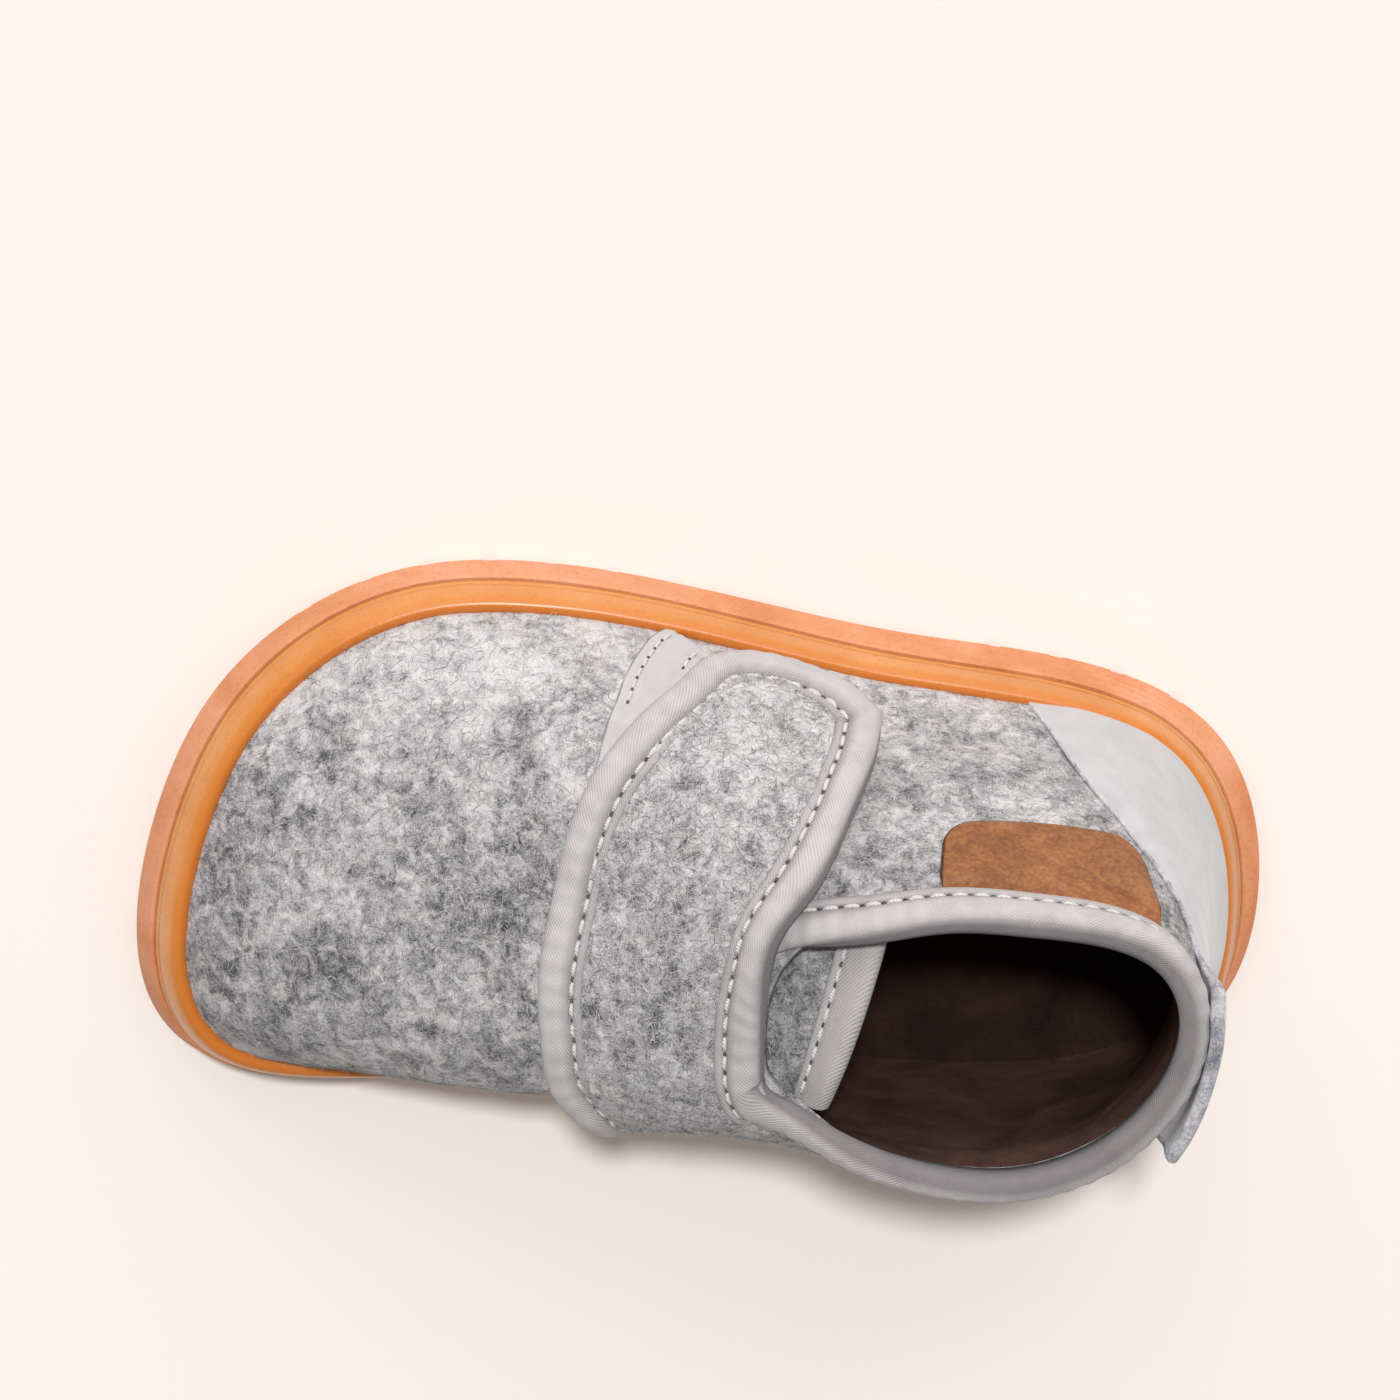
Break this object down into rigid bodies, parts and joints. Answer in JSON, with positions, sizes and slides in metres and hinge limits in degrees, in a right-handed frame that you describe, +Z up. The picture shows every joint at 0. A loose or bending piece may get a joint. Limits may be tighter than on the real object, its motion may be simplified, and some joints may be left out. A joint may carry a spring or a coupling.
{
  "type": "slipper",
  "caption": "Child's low felt slipper for the right foot with a wrap-over instep flap, taped edges, a heel pull tab and a thin flexible rubber sole with a raised rand.",
  "frame": {"origin": "on the floor, under the middle of the slipper's length and width", "axes": "+X toward the toe, -Y the outer side of the right foot, +Z up"},
  "size_m": [0.1669, 0.0834, 0.0688],
  "materials": {
    "natural_rubber": "matt amber natural rubber",
    "glossy_rubber": "glossy amber rubber strip",
    "brown_felt": "worn brown felt",
    "grey_felt": "hairy light and dark grey melange wool felt",
    "tongue_felt": "grey melange wool felt",
    "twill_tape": "pale grey diagonal twill",
    "flap_felt": "hairy light and dark grey melange wool felt",
    "bias_tape": "pale grey bias-cut twill",
    "collar_tape": "pale grey bias-cut twill",
    "smooth_tape": "smooth pale grey tape",
    "pale_suede": "smooth pale grey suede with a fuzzy cut edge",
    "tan_leather": "oiled tan leather, plain",
    "loop_pile": "dark brown looped pile",
    "hook_tape": "dark brown hook tape"
  },
  "bodies": {
    "root": {"outsole": "natural_rubber", "foxing": "glossy_rubber", "insole": "brown_felt", "upper": "grey_felt", "tongue": "tongue_felt", "tongue_binding": "twill_tape", "instep_flap": "flap_felt", "flap_binding": "bias_tape", "collar_binding": "collar_tape", "throat_trim": "smooth_tape", "heel_counter": "pale_suede", "side_label": "tan_leather", "closure_loop_patch": "loop_pile", "closure_hook_patch": "hook_tape"}
  },
  "joints": []
}
